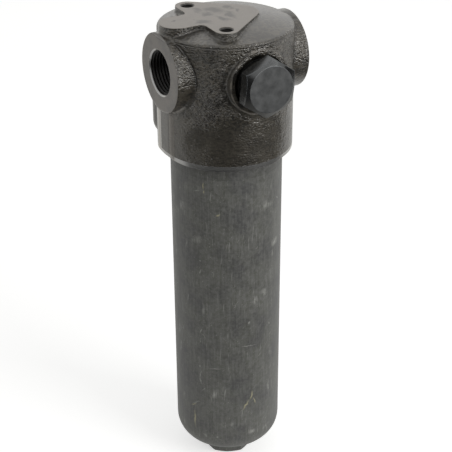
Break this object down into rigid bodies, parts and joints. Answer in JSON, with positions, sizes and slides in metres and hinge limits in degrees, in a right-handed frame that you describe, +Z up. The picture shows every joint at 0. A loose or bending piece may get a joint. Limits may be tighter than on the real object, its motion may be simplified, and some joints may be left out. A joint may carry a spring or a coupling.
{
  "type": "hydraulic pressure filter",
  "caption": "In-line hydraulic pressure filter: cast head with two threaded ports, closed indicator port and mounting pad, and a long screw-in steel bowl.",
  "frame": {"origin": "centre of the filter's axis on the face of the mounting pad", "axes": "+Z up out of the mounting face along the filter's axis, the inlet port towards -X and the closed indicator port towards -Y"},
  "size_m": [0.101, 0.1092, 0.36],
  "materials": {
    "cast_head": "rough casting, black coating",
    "phosphated_steel": "matte phosphated, dark grey",
    "plug_steel": "satin, dark blue-grey",
    "bright_steel": "turned",
    "plated_steel": "zinc plated sheet",
    "spring_steel": "drawn wire",
    "nitrile": "matte",
    "bonded_rubber": "rubber on a steel washer",
    "ptfe": "smooth",
    "wire_cloth": "woven wire",
    "glass_fibre": "felt"
  },
  "bodies": {
    "head_assembly": {"head": "cast_head", "indicator_plug": "plug_steel", "plug_bonded_seal": "bonded_rubber", "plug_o_ring": "nitrile", "element_spigot": "bright_steel", "bypass_seat": "bright_steel", "bypass_spring": "spring_steel", "bypass_guide": "bright_steel", "bypass_retaining_ring": "spring_steel", "element_top_cap": "plated_steel", "element_bottom_cap": "plated_steel", "element_o_ring": "nitrile", "element_core": "plated_steel", "outer_mesh": "wire_cloth", "filter_medium": "glass_fibre", "inner_mesh": "wire_cloth", "seam_clip": "plated_steel"},
    "bypass_poppet": {"bypass_poppet": "bright_steel"},
    "bowl_seals": {"bowl_o_ring": "nitrile", "bowl_backup_ring": "ptfe"},
    "bowl": {"bowl": "phosphated_steel"}
  },
  "joints": [
    {"name": "bowl_descent", "type": "slide", "parent": "head_assembly", "child": "bowl_seals", "axis": [0, 0, -1], "range_m": [0, 0.0141]},
    {"name": "bowl_unscrewing", "type": "hinge", "parent": "bowl_seals", "child": "bowl", "pos_m": [0, 0, -0.1], "axis": [0, 0, -1], "range_deg": [0, 2520]},
    {"name": "bypass_opening", "type": "slide", "parent": "head_assembly", "child": "bypass_poppet", "axis": [0, 0, -1], "range_m": [0, 0.004], "stiffness_N_per_m": 3300, "deforming": ["bypass_spring"]}
  ],
  "couplings": [
    {"joint": "bowl_descent", "follows": "bowl_unscrewing", "m_per_rad": 0.00031831}
  ]
}
